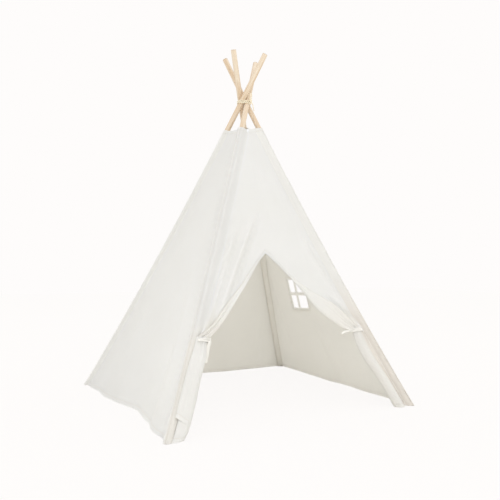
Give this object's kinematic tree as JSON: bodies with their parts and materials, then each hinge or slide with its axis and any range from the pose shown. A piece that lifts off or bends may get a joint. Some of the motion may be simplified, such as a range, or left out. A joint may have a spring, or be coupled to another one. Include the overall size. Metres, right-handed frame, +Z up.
{
  "type": "kids teepee",
  "caption": "Child's play teepee: four crossed wooden poles lashed at the top, canvas walls with pole sleeves, a tied-back door and a window.",
  "frame": {"origin": "on the floor, under the crown where the poles cross", "axes": "+Z up, the door faces -Y, the window is in the +X wall"},
  "size_m": [1.1556, 1.1556, 1.5823],
  "materials": {
    "natural_canvas": "matt plain-woven natural cotton canvas",
    "pine": "smooth sanded pale pine",
    "zinc_steel": "zinc-plated thin tube",
    "cotton_cord": "twisted natural cotton cord and tape"
  },
  "bodies": {
    "cover": {"front_panel": "natural_canvas", "left_wall": "natural_canvas", "right_wall": "natural_canvas", "back_wall": "natural_canvas", "window_trim": "natural_canvas"},
    "crown": {"lashing_rope": "cotton_cord"},
    "front_left_leg": {"front_left_pole_lower": "pine", "front_left_pole_middle": "pine", "front_left_pole_upper": "pine", "front_left_ferrule_lower": "zinc_steel", "front_left_ferrule_upper": "zinc_steel", "front_left_sleeve": "natural_canvas", "left_door_tie": "cotton_cord"},
    "front_right_leg": {"front_right_pole_lower": "pine", "front_right_pole_middle": "pine", "front_right_pole_upper": "pine", "front_right_ferrule_lower": "zinc_steel", "front_right_ferrule_upper": "zinc_steel", "front_right_sleeve": "natural_canvas", "right_door_tie": "cotton_cord"},
    "back_right_leg": {"back_right_pole_lower": "pine", "back_right_pole_middle": "pine", "back_right_pole_upper": "pine", "back_right_ferrule_lower": "zinc_steel", "back_right_ferrule_upper": "zinc_steel", "back_right_sleeve": "natural_canvas"},
    "back_left_leg": {"back_left_pole_lower": "pine", "back_left_pole_middle": "pine", "back_left_pole_upper": "pine", "back_left_ferrule_lower": "zinc_steel", "back_left_ferrule_upper": "zinc_steel", "back_left_sleeve": "natural_canvas"},
    "left_flap": {"left_door_flap": "natural_canvas"},
    "right_flap": {"right_door_flap": "natural_canvas"}
  },
  "joints": [
    {"name": "crown_rise", "type": "slide", "parent": "cover", "child": "crown", "axis": [0, 0, 1], "range_m": [0, 0.206]},
    {"name": "front_left_fold", "type": "hinge", "parent": "crown", "child": "front_left_leg", "pos_m": [0.00914, -0.017, 1.3594], "axis": [0.7071, -0.7071, 0], "range_deg": [0, 25], "deforming": ["front_panel", "left_wall", "right_wall", "back_wall", "window_trim", "left_door_flap", "right_door_flap", "left_door_tie", "right_door_tie"]},
    {"name": "front_right_fold", "type": "hinge", "parent": "crown", "child": "front_right_leg", "pos_m": [0.017, 0.00914, 1.3594], "axis": [0.7071, 0.7071, 0], "range_deg": [0, 25]},
    {"name": "back_right_fold", "type": "hinge", "parent": "crown", "child": "back_right_leg", "pos_m": [-0.00914, 0.017, 1.3594], "axis": [-0.7071, 0.7071, 0], "range_deg": [0, 25]},
    {"name": "back_left_fold", "type": "hinge", "parent": "crown", "child": "back_left_leg", "pos_m": [-0.017, -0.00914, 1.3594], "axis": [-0.7071, -0.7071, 0], "range_deg": [0, 25]},
    {"name": "left_flap_swing", "type": "hinge", "parent": "front_left_leg", "child": "left_flap", "pos_m": [-0.53693, -0.56307, 0], "axis": [-0.3676, -0.3676, -0.8542], "range_deg": [-10, 50]},
    {"name": "right_flap_swing", "type": "hinge", "parent": "front_right_leg", "child": "right_flap", "pos_m": [0.56307, -0.53693, 0], "axis": [-0.3676, 0.3676, 0.8542], "range_deg": [-10, 50]}
  ],
  "couplings": [
    {"joint": "front_right_fold", "follows": "front_left_fold", "ratio": 1},
    {"joint": "back_right_fold", "follows": "front_left_fold", "ratio": 1},
    {"joint": "back_left_fold", "follows": "front_left_fold", "ratio": 1},
    {"joint": "crown_rise", "follows": "front_left_fold", "m_per_rad": 0.4715}
  ]
}
